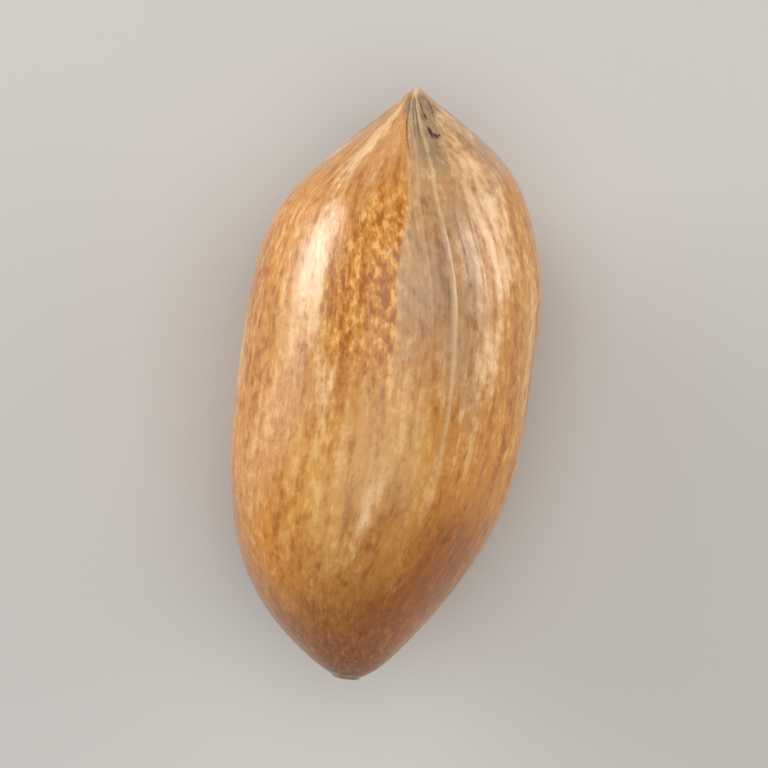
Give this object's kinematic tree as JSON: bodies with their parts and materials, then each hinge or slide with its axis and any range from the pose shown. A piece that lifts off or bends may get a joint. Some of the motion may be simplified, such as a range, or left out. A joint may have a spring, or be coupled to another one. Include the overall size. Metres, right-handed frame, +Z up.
{
  "type": "pecan in shell",
  "caption": "Whole pecan in its smooth brown shell: a long rounded nut with a ridged, pointed tip and a blunt base, lying on its side.",
  "frame": {"origin": "under the middle of the nut, on the surface that it lies on", "axes": "+Y along the nut towards its pointed tip, +Z up as it lies on its side, +X across its width"},
  "size_m": [0.0206, 0.0418, 0.02],
  "materials": {
    "shell": "satin"
  },
  "bodies": {
    "root": {"pecan_in_shell": "shell"}
  },
  "joints": []
}
